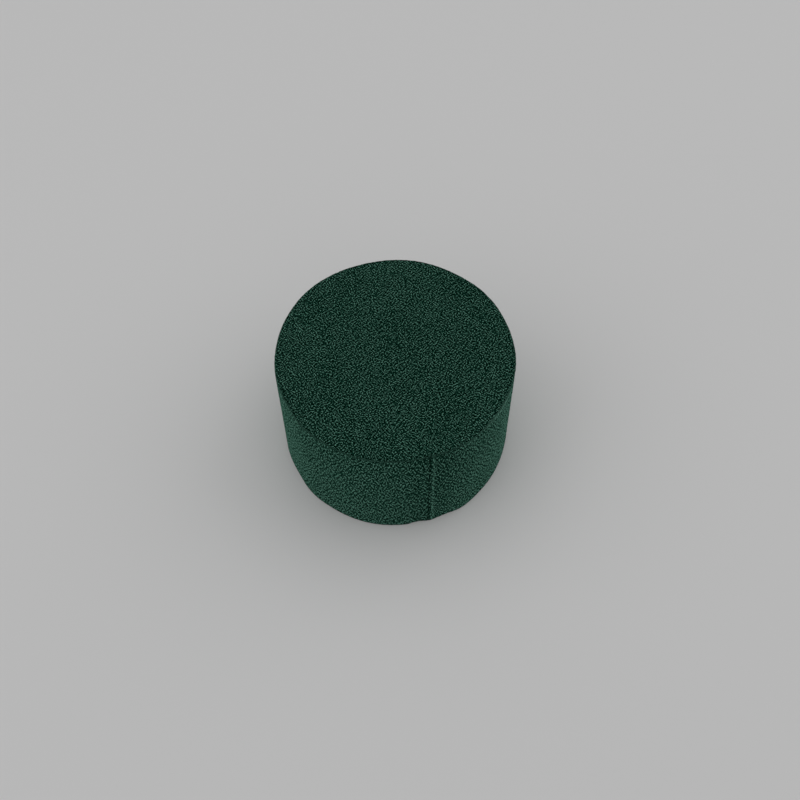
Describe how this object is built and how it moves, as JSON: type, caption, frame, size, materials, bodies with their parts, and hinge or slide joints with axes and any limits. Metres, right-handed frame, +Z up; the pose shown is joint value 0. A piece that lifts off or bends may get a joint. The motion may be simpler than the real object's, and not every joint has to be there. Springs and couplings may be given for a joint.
{
  "type": "floral foam round",
  "caption": "Low solid cylinder of rigid floral foam with flat ends, which holds cut stems and water in a dish or vase.",
  "frame": {"origin": "centre of the flat base, on the surface that the block stands on", "axes": "+Z up along the block's own axis; -Y is the front, and the upright joint line is at the front, a little towards +X"},
  "size_m": [0.08, 0.08, 0.047],
  "materials": {
    "foam": "dry, quite matt, fine open-cell foam with cut cell walls that glint a little"
  },
  "bodies": {
    "root": {"foam_block": "foam"}
  },
  "joints": []
}
